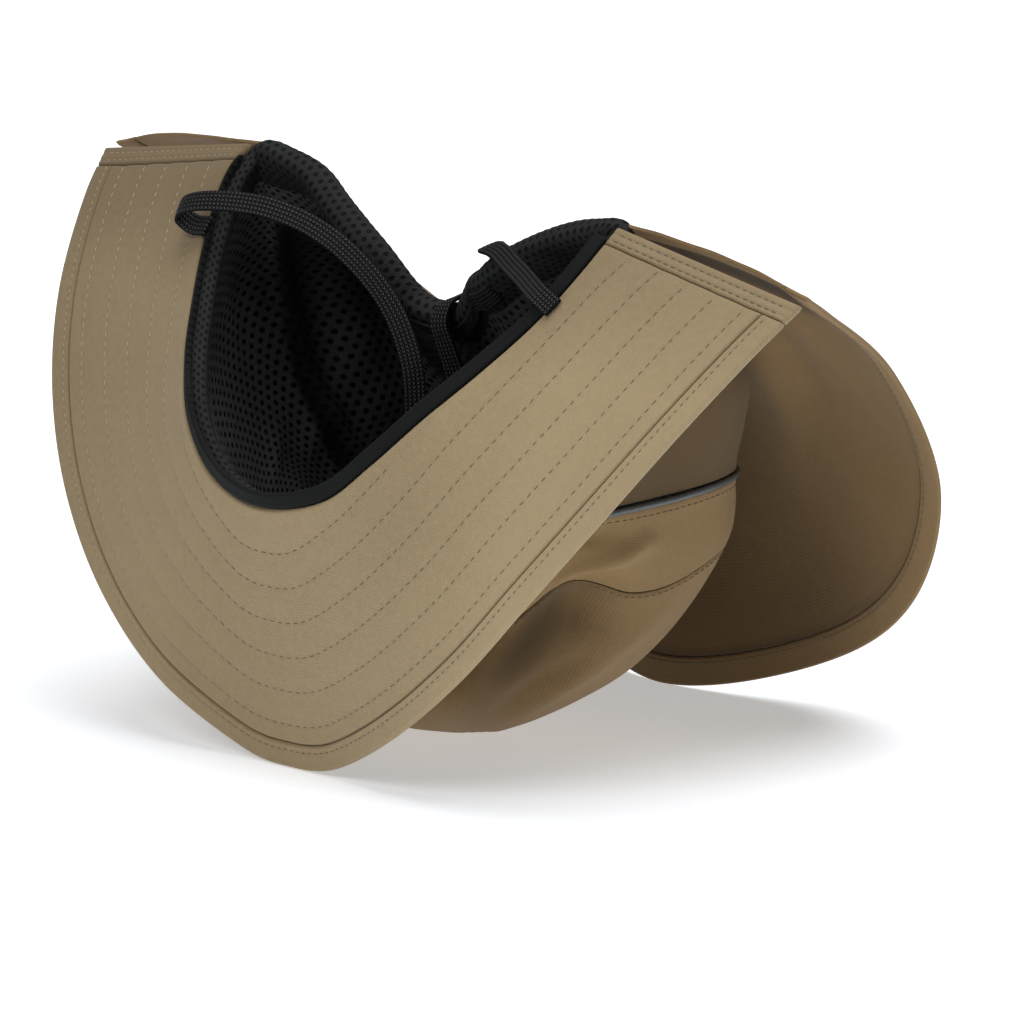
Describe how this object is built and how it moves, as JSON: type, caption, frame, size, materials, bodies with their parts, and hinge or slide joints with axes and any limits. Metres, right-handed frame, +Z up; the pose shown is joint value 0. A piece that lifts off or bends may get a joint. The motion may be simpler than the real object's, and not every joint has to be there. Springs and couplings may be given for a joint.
{
  "type": "folding sun hat with neck cape",
  "caption": "Soft sun hat lying upside down and folded, with a stiff front brim, a neck cape, a mesh-lined crown and a chin strap.",
  "frame": {"origin": "bottom centre of the bounding box, on the surface that the hat lies on", "axes": "+X across the hat, to the right of someone who looks at the front brim, which faces -Y; +Z up"},
  "size_m": [0.361, 0.2244, 0.2056],
  "materials": {
    "brim_cloth": "woven nylon, matt",
    "crown_cloth": "woven nylon, matt",
    "cape_cloth": "woven nylon, matt",
    "piping": "grey reflective tape, satin",
    "spacer_mesh": "black open mesh",
    "sweatband_knit": "black smooth knit",
    "elastic": "black ribbed elastic",
    "strap_braid": "black flat braid"
  },
  "bodies": {
    "root": {"front_brim": "brim_cloth", "brim_edge_binding": "brim_cloth", "brim_end_band_left": "brim_cloth", "brim_end_band_right": "brim_cloth", "crown_side_band": "crown_cloth", "crown_upper_band": "crown_cloth", "crown_top": "crown_cloth", "reflective_piping": "piping", "mesh_lining": "spacer_mesh", "sweatband": "sweatband_knit", "rear_elastic": "elastic", "neck_cape": "cape_cloth", "cape_hem": "cape_cloth", "chin_strap": "strap_braid"}
  },
  "joints": []
}
